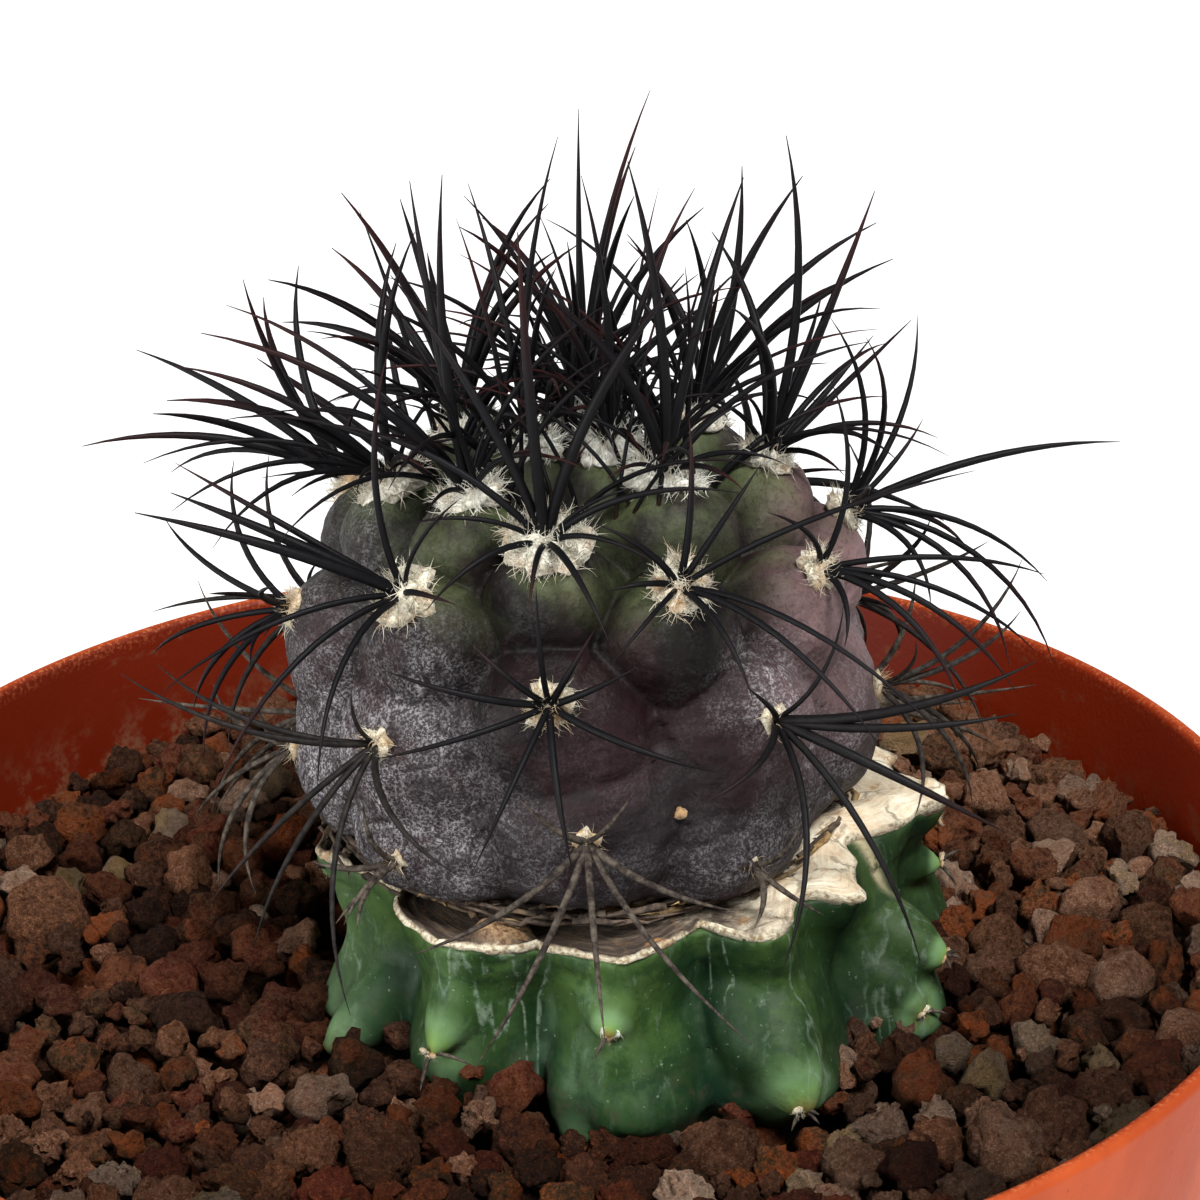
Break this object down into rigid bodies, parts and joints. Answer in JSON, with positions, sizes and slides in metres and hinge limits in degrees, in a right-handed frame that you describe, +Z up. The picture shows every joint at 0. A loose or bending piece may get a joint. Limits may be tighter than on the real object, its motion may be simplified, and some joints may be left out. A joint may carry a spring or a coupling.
{
  "type": "potted copiapoa cactus",
  "caption": "Grafted copiapoa: a purple-grey globe of tubercles with woolly areoles and long dark spines on a cut green rootstock, in a round pot of lava grit.",
  "frame": {"origin": "centre of the pot's underside", "axes": "+Z up along the pot's axis, -Y towards the side that the picture shows"},
  "size_m": [0.12, 0.12, 0.1519],
  "materials": {
    "pot_plastic": "terracotta-coloured moulded plastic, satin",
    "lava_grit": "rough porous lava, brown to rust and grey",
    "rootstock_skin": "living cactus skin, waxy green with corky cracks",
    "cork": "dry pale cork of the healed cut",
    "copiapoa_skin": "living cactus skin, matt purple-grey with a pale waxy bloom",
    "areole_wool": "cream matted wool",
    "spines": "near-black horny spines with a faint sheen"
  },
  "bodies": {
    "root": {"pot": "pot_plastic", "grit": "lava_grit", "rootstock": "rootstock_skin", "scion": "copiapoa_skin"}
  },
  "joints": []
}
